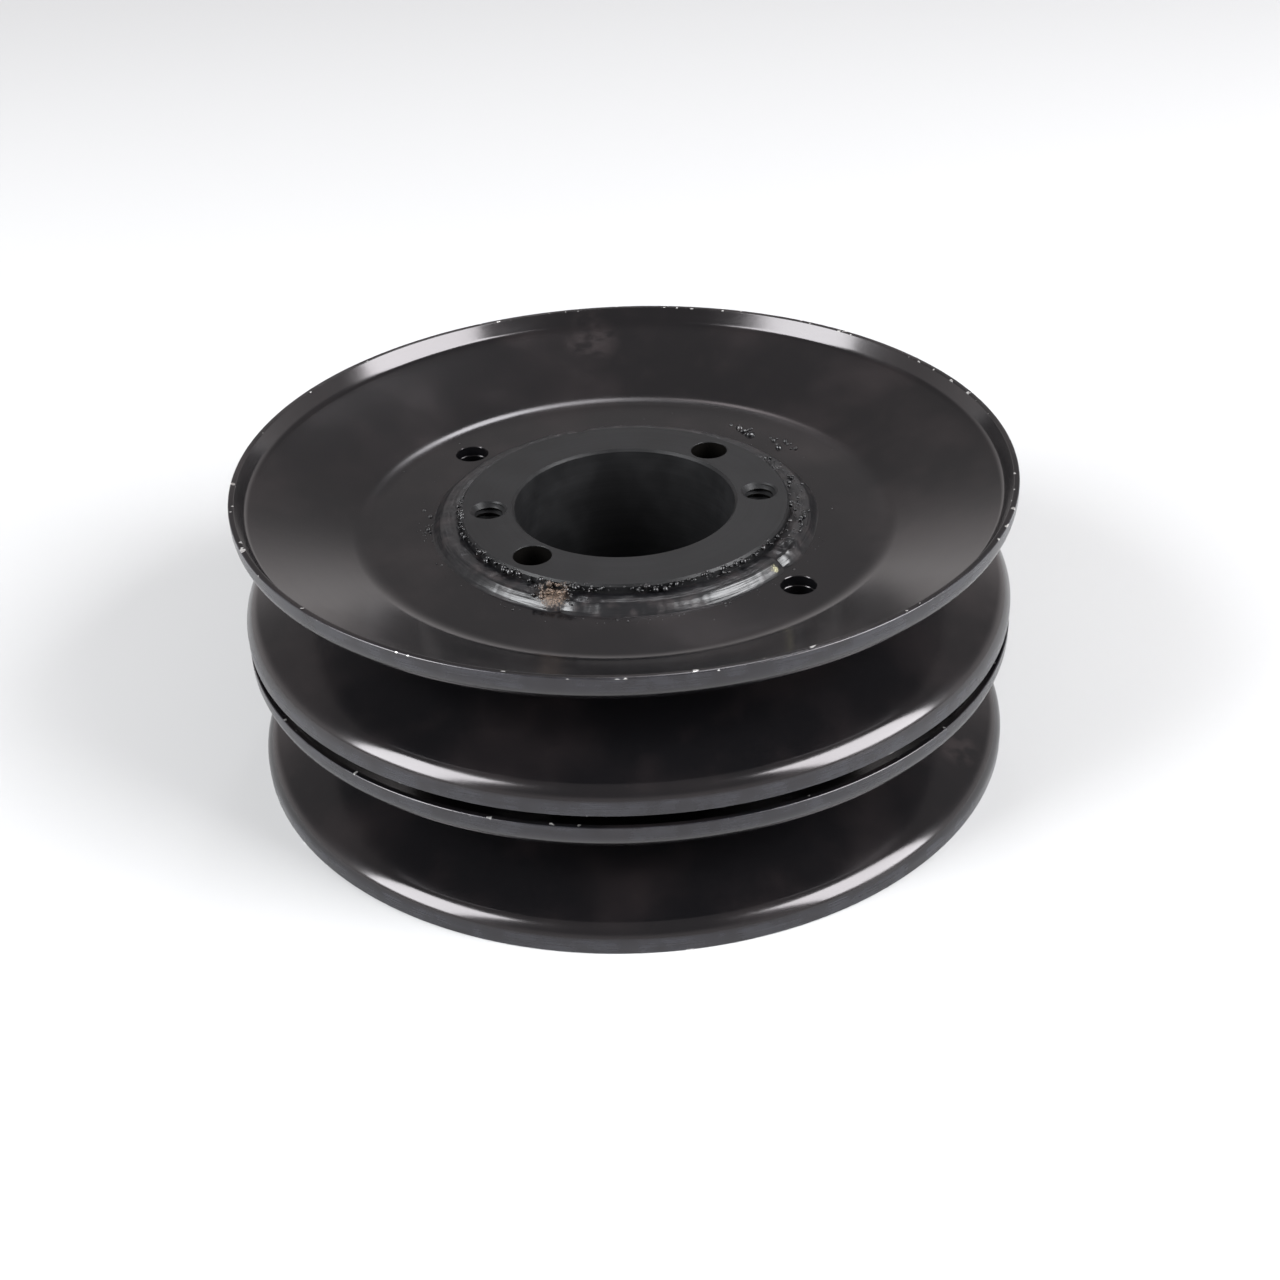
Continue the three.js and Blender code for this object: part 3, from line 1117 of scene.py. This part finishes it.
class PULLEY_OT_stage(bpy.types.Operator):
    """Set out the floor, the lights and the camera"""

    bl_idname = "pulley.stage"
    bl_label = "Stage"

    # Azimuth, elevation, width and height as angles in degrees, brightness and colour.
    boxes = {
        "left_softbox": (202, 30, 30, 42, 18.0, (0.96, 0.98, 1.0)),
        "right_softbox": (-26, 30, 38, 42, 17.5, (0.97, 0.98, 1.0)),
        "rear_right_softbox": (80, 48.5, 7, 11, 11.0, (0.95, 0.96, 1.0)),
        "rear_left_softbox": (93.5, 50, 4, 8, 3.5, (1.0, 0.93, 0.95)),
    }
    box_distance = 1.2  # metres from the pulley to each box
    aim = (1.862, -0.110, -11.303)  # what the camera looks at, in millimetres

    def execute(self, context):
        settings = context.scene.pulley_stage
        self.add_floor(settings)
        self.add_world(settings)
        for name, box in self.boxes.items():
            self.add_box(name, *box)
        self.add_camera(settings)
        context.scene.view_settings.view_transform = "Standard"
        return {"FINISHED"}

    def add_floor(self, settings):
        half, level = 6.0, whole_low.z
        corners = [(x * half, y * half, level) for x, y in ((-1, -1), (1, -1), (1, 1), (-1, 1))]
        floor = add_object("floor", solid_mesh("floor", corners, [(0, 1, 2, 3)]))
        material = bpy.data.materials.new("floor")
        material.use_nodes = True
        shader = material.node_tree.nodes["Principled BSDF"]
        place = Wire(material.node_tree).node("ShaderNodeTexCoord", result="Object")
        far = place.distance((0.0, 0.0, 0.0)).ease(0.5, 2.5)
        shade = far.mix(settings.floor, settings.far_floor)
        glow = far.mix((0.0, 0.0, 0.0), settings.far_glow)
        material.node_tree.links.new(shade.socket, shader.inputs["Base Color"])
        material.node_tree.links.new(glow.socket, shader.inputs["Emission Color"])
        shader.inputs["Emission Strength"].default_value = 1.0
        shader.inputs["Roughness"].default_value = 0.9
        floor.data.materials.append(material)

    def add_world(self, settings):
        world = bpy.data.worlds.new("room")
        world.use_nodes = True
        background = world.node_tree.nodes["Background"]
        way = Wire(world.node_tree).node("ShaderNodeTexCoord", result="Generated")
        fade = way.parts()[2].ease(0.12, 0.46)
        strength = settings.low_room + (settings.high_room - settings.low_room) * fade
        background.inputs["Color"].default_value = (*settings.room, 1.0)
        world.node_tree.links.new(strength.socket, background.inputs["Strength"])
        bpy.context.scene.world = world

    def add_box(self, name, azimuth, elevation, wide, tall, brightness, tint):
        light = bpy.data.lights.new(name, "AREA")
        light.shape = "RECTANGLE"
        light.size, light.size_y = (
            2 * self.box_distance * math.tan(math.radians(side / 2)) for side in (wide, tall)
        )
        light.energy = brightness * math.pi * light.size * light.size_y
        light.color = tint
        lamp = add_object(name, light)
        across = math.cos(math.radians(elevation))
        away = Vector(polar(across, azimuth, math.sin(math.radians(elevation))))
        lamp.location = away * self.box_distance
        lamp.rotation_euler = away.to_track_quat("Z", "Y").to_euler()

    def add_camera(self, settings):
        camera = bpy.data.cameras.new("camera")
        camera.lens = settings.lens
        camera.clip_start = 0.01
        viewer = add_object("camera", camera)
        aim = Vector(self.aim) * MM
        across = math.cos(settings.elevation)
        back = Vector(polar(across, math.degrees(settings.azimuth), math.sin(settings.elevation)))
        side = (-back).cross(Vector((0, 0, 1))).normalized()
        above = side.cross(-back)
        right = side * math.cos(settings.roll) + above * math.sin(settings.roll)
        up = above * math.cos(settings.roll) - side * math.sin(settings.roll)
        facing = Matrix((right, up, back)).transposed().to_4x4()
        viewer.matrix_world = Matrix.Translation(aim + back * settings.distance) @ facing
        bpy.context.scene.camera = viewer


class PULLEY_PT_panel(bpy.types.Panel):
    """The steps that make the pulley"""

    bl_label = "V-belt pulley"
    bl_idname = "PULLEY_PT_panel"
    bl_space_type = "VIEW_3D"
    bl_region_type = "UI"
    bl_category = "Pulley"

    def draw(self, context):
        for operator in OPERATORS:
            self.layout.operator(operator.bl_idname)


OPERATORS = (
    PULLEY_OT_stage,
    PULLEY_OT_discs,
    PULLEY_OT_spacer,
    PULLEY_OT_hub,
    PULLEY_OT_welds,
    PULLEY_OT_spatter,
)
SETTINGS = {
    "pulley_discs": PulleyDiscs,
    "pulley_hub": PulleyHub,
    "pulley_welds": PulleyWelds,
    "pulley_paint": PulleyPaint,
    "pulley_stage": PulleyStage,
}
CLASSES = (*SETTINGS.values(), *OPERATORS, PULLEY_PT_panel)


def register():
    for item in CLASSES:
        bpy.utils.register_class(item)
    for name, group in SETTINGS.items():
        setattr(bpy.types.Scene, name, bpy.props.PointerProperty(type=group))


def unregister():
    for name in SETTINGS:
        delattr(bpy.types.Scene, name)
    for item in reversed(CLASSES):
        bpy.utils.unregister_class(item)


def main():
    register()
    bpy.ops.pulley.stage()
    bpy.ops.pulley.discs()
    bpy.ops.pulley.spacer()
    bpy.ops.pulley.hub()
    bpy.ops.pulley.welds()
    bpy.ops.pulley.spatter()


if __name__ == "__main__":
    main()
